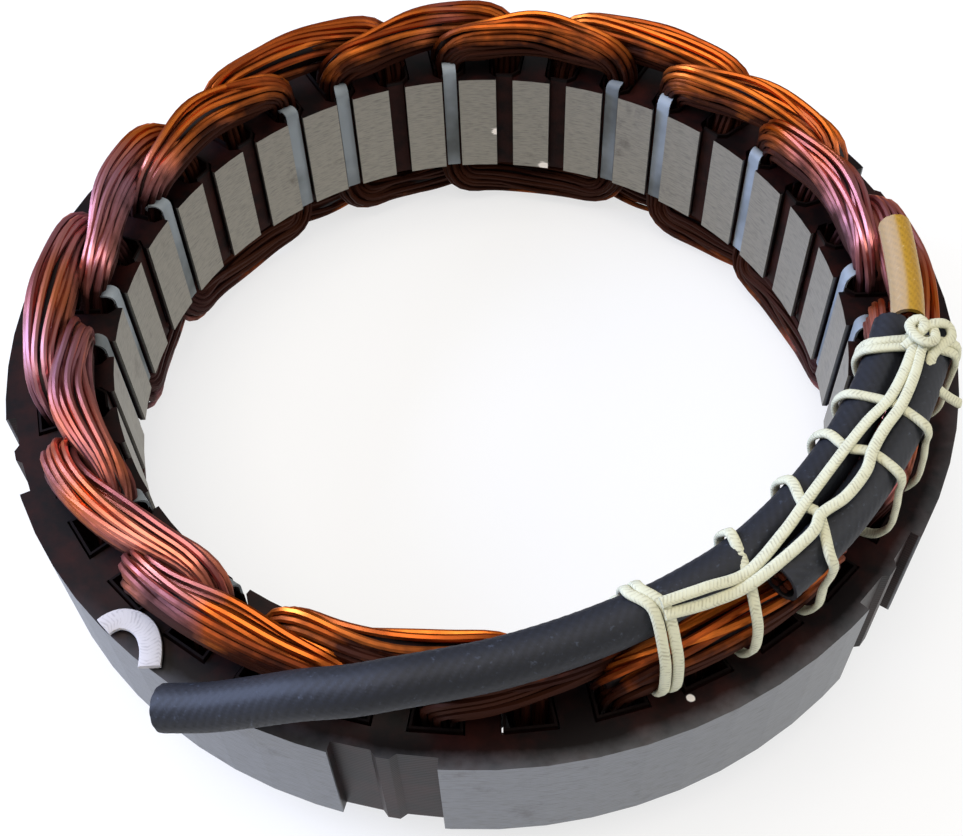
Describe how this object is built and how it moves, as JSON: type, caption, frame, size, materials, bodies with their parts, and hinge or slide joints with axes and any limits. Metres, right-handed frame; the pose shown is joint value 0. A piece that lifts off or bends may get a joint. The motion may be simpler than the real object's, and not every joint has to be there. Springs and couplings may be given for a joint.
{
  "type": "wound stator",
  "caption": "Ring-shaped wound stator: slotted laminated steel core, overlapping copper coils, slot liners, and sleeved leads laced on top of the winding.",
  "frame": {"origin": "on the bore's axis, level with the underside of the lower winding head", "axes": "+Z along the bore's axis towards the end with the leads, +Y away from the camera of the picture"},
  "size_m": [0.128, 0.128, 0.0461],
  "materials": {
    "core_steel": "ground rim and pole faces, dark varnish on the end faces",
    "copper_wire": "enamelled copper wire, varnished",
    "liner_pale": "pale grey insulating sheet",
    "liner_brown": "insulating sheet soaked in dark varnish",
    "black_sleeving": "woven glass sleeving, matt",
    "yellow_sleeving": "varnished glass sleeving, satin",
    "lacing_cord": "flat braided lacing cord, matt"
  },
  "bodies": {
    "root": {"stator_core": "core_steel", "phase_a_coil_1": "copper_wire", "phase_a_coil_2": "copper_wire", "phase_a_coil_3": "copper_wire", "phase_a_coil_4": "copper_wire", "phase_a_coil_5": "copper_wire", "phase_a_coil_6": "copper_wire", "phase_b_coil_1": "copper_wire", "phase_b_coil_2": "copper_wire", "phase_b_coil_3": "copper_wire", "phase_b_coil_4": "copper_wire", "phase_b_coil_5": "copper_wire", "phase_b_coil_6": "copper_wire", "phase_c_coil_1": "copper_wire", "phase_c_coil_2": "copper_wire", "phase_c_coil_3": "copper_wire", "phase_c_coil_4": "copper_wire", "phase_c_coil_5": "copper_wire", "phase_c_coil_6": "copper_wire", "slot_liner_01": "liner_brown", "slot_liner_02": "liner_brown", "slot_liner_03": "liner_pale", "slot_liner_04": "liner_pale", "slot_liner_05": "liner_brown", "slot_liner_06": "liner_pale", "slot_liner_07": "liner_brown", "slot_liner_08": "liner_brown", "slot_liner_09": "liner_pale", "slot_liner_10": "liner_pale", "slot_liner_11": "liner_brown", "slot_liner_12": "liner_pale", "slot_liner_13": "liner_brown", "slot_liner_14": "liner_brown", "slot_liner_15": "liner_pale", "slot_liner_16": "liner_pale", "slot_liner_17": "liner_brown", "slot_liner_18": "liner_pale", "slot_liner_19": "liner_brown", "slot_liner_20": "liner_brown", "slot_liner_21": "liner_pale", "slot_liner_22": "liner_pale", "slot_liner_23": "liner_brown", "slot_liner_24": "liner_pale", "slot_liner_25": "liner_brown", "slot_liner_26": "liner_brown", "slot_liner_27": "liner_pale", "slot_liner_28": "liner_pale", "slot_liner_29": "liner_brown", "slot_liner_30": "liner_pale", "slot_liner_31": "liner_brown", "slot_liner_32": "liner_brown", "slot_liner_33": "liner_pale", "slot_liner_34": "liner_pale", "slot_liner_35": "liner_brown", "slot_liner_36": "liner_pale", "long_lead_sleeve": "black_sleeving", "short_lead_sleeve": "black_sleeving", "yellow_lead_sleeve": "yellow_sleeving", "lacing_cord": "lacing_cord", "cord_tail_loop": "lacing_cord"}
  },
  "joints": []
}
